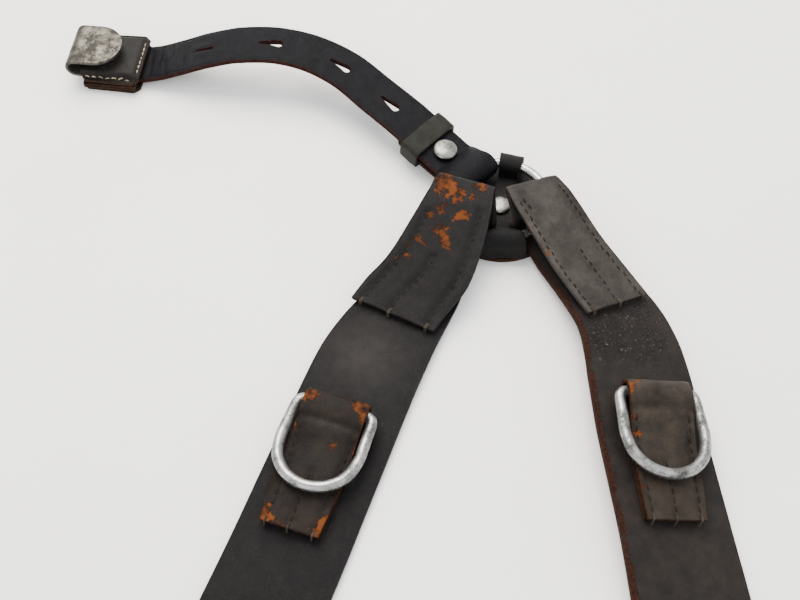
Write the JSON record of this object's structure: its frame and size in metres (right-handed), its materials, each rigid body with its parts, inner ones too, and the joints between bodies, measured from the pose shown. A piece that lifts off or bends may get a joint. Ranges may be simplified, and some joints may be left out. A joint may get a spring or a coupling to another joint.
{
  "type": "leather equipment suspenders",
  "caption": "Y-shaped leather equipment suspenders: straps looped on a steel ring over a round back pad, with sewn-on D-rings, stud and slot length adjusters and belt hooks.",
  "frame": {"origin": "centre of the underside of the round leather back pad", "axes": "+Z out of the outer face of the straps, shoulder straps run to -Y, rear strap runs to -X"},
  "size_m": [0.3002, 0.7374, 0.0216],
  "materials": {
    "strap_leather": "worn black harness leather with reddish raw edges",
    "pad_leather": "black leather, browned at the rim",
    "chape_leather": "brown-black leather, rubbed orange at the corners",
    "keeper_leather": "grey-black leather, thick and stiff",
    "patch_leather": "black leather, brown layered edges",
    "ring_metal": "bright worn steel wire",
    "d_ring_metal": "scuffed bright steel wire",
    "stud_metal": "dull aluminium with pits",
    "hook_metal": "mottled grey pressed sheet, bright at the bend"
  },
  "bodies": {
    "pad": {"back_pad": "pad_leather", "ring_strip": "pad_leather", "pad_rivet": "stud_metal"},
    "ring": {"o_ring": "ring_metal"},
    "rear_ring_end": {"rear_strap_ring_end": "strap_leather", "rear_stud": "stud_metal"},
    "rear_keeper_loop": {"rear_keeper": "keeper_leather"},
    "rear_hook_end": {"rear_strap_hook_end": "strap_leather", "patch_bottom": "patch_leather", "patch_top": "patch_leather", "rear_hook": "hook_metal"},
    "left_shoulder": {"left_strap_rear": "strap_leather", "left_chape": "chape_leather"},
    "left_dee": {"left_d_ring": "d_ring_metal"},
    "left_front": {"left_strap_front": "strap_leather", "left_stud": "stud_metal"},
    "left_keeper_loop": {"left_keeper": "keeper_leather"},
    "left_belt_hook": {"left_hook": "hook_metal"},
    "right_shoulder": {"right_strap_rear": "strap_leather", "right_chape": "chape_leather"},
    "right_dee": {"right_d_ring": "d_ring_metal"},
    "right_front": {"right_strap_front": "strap_leather", "right_stud": "stud_metal"},
    "right_keeper_loop": {"right_keeper": "keeper_leather"},
    "right_belt_hook": {"right_hook": "hook_metal"}
  },
  "joints": [
    {"name": "ring_spin", "type": "hinge", "parent": "pad", "child": "ring", "pos_m": [0, 0, 0.0092], "axis": [0, 0, 1], "continuous": true},
    {"name": "rear_lift", "type": "hinge", "parent": "pad", "child": "rear_ring_end", "pos_m": [-0.01405, 0.01561, 0.0092], "axis": [0.7431, 0.6691, 0], "range_deg": [0, 12]},
    {"name": "left_lift", "type": "hinge", "parent": "pad", "child": "left_shoulder", "pos_m": [-0.01609, -0.0135, 0.0092], "axis": [-0.6428, 0.766, 0], "range_deg": [0, 16]},
    {"name": "right_lift", "type": "hinge", "parent": "pad", "child": "right_shoulder", "pos_m": [0.01609, -0.0135, 0.0092], "axis": [-0.6428, -0.766, 0], "range_deg": [0, 16]},
    {"name": "rear_fold", "type": "hinge", "parent": "rear_ring_end", "child": "rear_hook_end", "pos_m": [-0.1203, 0.0852, 0.02068], "axis": [0.0523, 0.9986, 0], "range_deg": [0, 110]},
    {"name": "left_fold", "type": "hinge", "parent": "left_shoulder", "child": "left_front", "pos_m": [-0.11555, -0.23215, 0.00282], "axis": [-0.9397, 0.342, 0], "range_deg": [0, 120]},
    {"name": "right_fold", "type": "hinge", "parent": "right_shoulder", "child": "right_front", "pos_m": [0.0652, -0.23215, 0.00282], "axis": [-0.9986, -0.0523, 0], "range_deg": [0, 120]},
    {"name": "rear_keeper_slide", "type": "slide", "parent": "rear_ring_end", "child": "rear_keeper_loop", "axis": [-0.6865, 0.7203, 0.0995], "range_m": [0, 0.004]},
    {"name": "left_keeper_slide", "type": "slide", "parent": "left_front", "child": "left_keeper_loop", "axis": [0, 1, 0], "range_m": [0, 0.006]},
    {"name": "right_keeper_slide", "type": "slide", "parent": "right_front", "child": "right_keeper_loop", "axis": [0, 1, 0], "range_m": [0, 0.006]},
    {"name": "left_dee_swing", "type": "hinge", "parent": "left_shoulder", "child": "left_dee", "pos_m": [-0.07038, -0.10313, 0.00855], "axis": [-0.9485, 0.3168, -0.0002], "range_deg": [0, 150]},
    {"name": "right_dee_swing", "type": "hinge", "parent": "right_shoulder", "child": "right_dee", "pos_m": [0.05643, -0.0991, 0.0139], "axis": [-0.9813, -0.0435, 0.1874], "range_deg": [0, 150]},
    {"name": "left_hook_swing", "type": "hinge", "parent": "left_front", "child": "left_belt_hook", "pos_m": [-0.15, -0.588, 0.0071], "axis": [-1, 0, 0], "range_deg": [0, 80]},
    {"name": "right_hook_swing", "type": "hinge", "parent": "right_front", "child": "right_belt_hook", "pos_m": [0.07, -0.588, 0.0071], "axis": [-1, 0, 0], "range_deg": [0, 80]}
  ]
}
